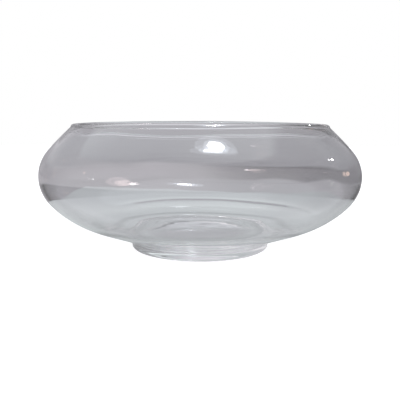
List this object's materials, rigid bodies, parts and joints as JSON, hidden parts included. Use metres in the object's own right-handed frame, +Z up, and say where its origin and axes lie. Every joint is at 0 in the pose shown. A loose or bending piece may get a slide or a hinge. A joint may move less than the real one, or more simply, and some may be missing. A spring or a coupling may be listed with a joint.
{
  "type": "low round glass bowl",
  "caption": "Wide, low bowl of clear glass: rounded belly, inward shoulder, open mouth with a rounded lip bead, thick floor and a small round foot.",
  "frame": {"origin": "centre of the foot's flat resting ring", "axes": "+Z up along the bowl's axis of revolution; X and Y level, and alike in every direction"},
  "size_m": [0.2999, 0.3, 0.1174],
  "materials": {
    "clear_glass": "clear, polished, with a faint cool grey cast and the slight waviness of blown glass"
  },
  "bodies": {
    "root": {"rim_bead": "clear_glass", "bowl_wall": "clear_glass", "floor_disc": "clear_glass", "foot_pad": "clear_glass"}
  },
  "joints": []
}
